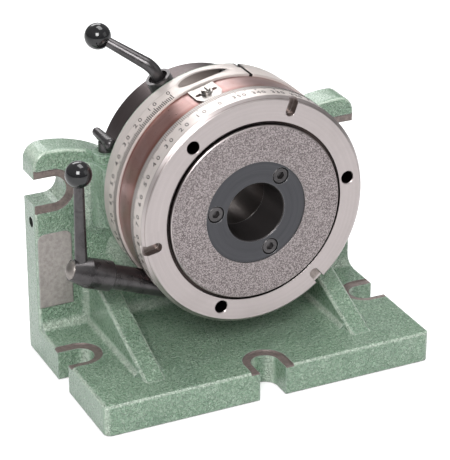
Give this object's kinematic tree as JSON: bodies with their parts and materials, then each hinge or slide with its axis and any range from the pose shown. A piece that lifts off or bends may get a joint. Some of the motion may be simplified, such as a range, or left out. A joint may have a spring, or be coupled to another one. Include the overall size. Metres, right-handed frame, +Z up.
{
  "type": "indexing fixture",
  "caption": "Angle-body direct indexing fixture with a faced, flanged spindle for a small chuck, graduated rings, index lever, clamp lever and bolt slots.",
  "frame": {"origin": "middle of the foot's underside", "axes": "+Z up, -Y along the spindle axis out of the spindle face, +X to the right seen from the front"},
  "size_m": [0.1886, 0.107, 0.1814],
  "materials": {
    "cast_paint": "satin",
    "ground_steel": "satin",
    "polished_steel": "polished",
    "black_oxide": "satin",
    "bright_steel": "polished",
    "black_plastic": "gloss",
    "bronze": "satin"
  },
  "bodies": {
    "body": {"base_casting": "cast_paint", "ring_clamp_screw": "black_oxide"},
    "head": {"head_sleeve": "polished_steel", "head_rear_barrel": "black_oxide", "front_thrust_washer": "bronze", "rear_thrust_washer": "bronze", "pointer_plate": "bright_steel", "pointer_washer": "bright_steel", "pointer_screw": "bright_steel", "shaft_guide_bush": "black_oxide"},
    "spindle": {"spindle": "ground_steel", "bore_ring": "black_oxide", "bore_ring_screws": "black_oxide", "index_plate": "ground_steel", "index_plate_screws": "black_oxide", "spindle_nut": "black_oxide"},
    "index_lever": {"crank_shaft": "black_oxide", "index_lever_hub": "black_oxide", "index_lever_rod": "black_oxide", "index_lever_knob": "black_plastic", "hub_end_screw": "bright_steel"},
    "index_pin": {"index_pin": "bright_steel"},
    "clamp_lever": {"clamp_screw": "black_oxide", "clamp_lever_rod": "black_oxide", "clamp_lever_knob": "black_plastic"},
    "clamp_shoe": {"clamp_shoe": "bronze"},
    "sleeve_lock": {"lock_cam_shaft": "black_oxide", "lock_handle": "black_oxide"}
  },
  "joints": [
    {"name": "head_turn", "type": "hinge", "parent": "body", "child": "head", "pos_m": [0, 0.0095, 0.097], "axis": [0, 1, 0], "range_deg": [-15, 45]},
    {"name": "spindle_turn", "type": "hinge", "parent": "head", "child": "spindle", "pos_m": [0, -0.0105, 0.097], "axis": [0, 1, 0], "continuous": true},
    {"name": "index_lever_turn", "type": "hinge", "parent": "head", "child": "index_lever", "pos_m": [-0.01986, -0.006, 0.04485], "axis": [0.9345, 0, -0.3559], "range_deg": [0, 90]},
    {"name": "index_pin_slide", "type": "slide", "parent": "head", "child": "index_pin", "axis": [0.3559, 0, 0.9345], "range_m": [0, 0.00368]},
    {"name": "clamp_lever_turn", "type": "hinge", "parent": "head", "child": "clamp_lever", "pos_m": [-0.02429, 0.0275, 0.14746], "axis": [0.4337, 0, -0.9011], "range_deg": [0, 60]},
    {"name": "clamp_shoe_slide", "type": "slide", "parent": "head", "child": "clamp_shoe", "axis": [0.4337, 0, -0.9011], "range_m": [0, 0.00025]},
    {"name": "sleeve_lock_turn", "type": "hinge", "parent": "body", "child": "sleeve_lock", "pos_m": [-0.0552, 0.0335, 0.117], "axis": [0, 0, 1], "range_deg": [0, 45]}
  ],
  "couplings": [
    {"joint": "index_pin_slide", "follows": "index_lever_turn", "m_per_rad": 0.0023428},
    {"joint": "clamp_shoe_slide", "follows": "clamp_lever_turn", "m_per_rad": 0.00023873}
  ]
}
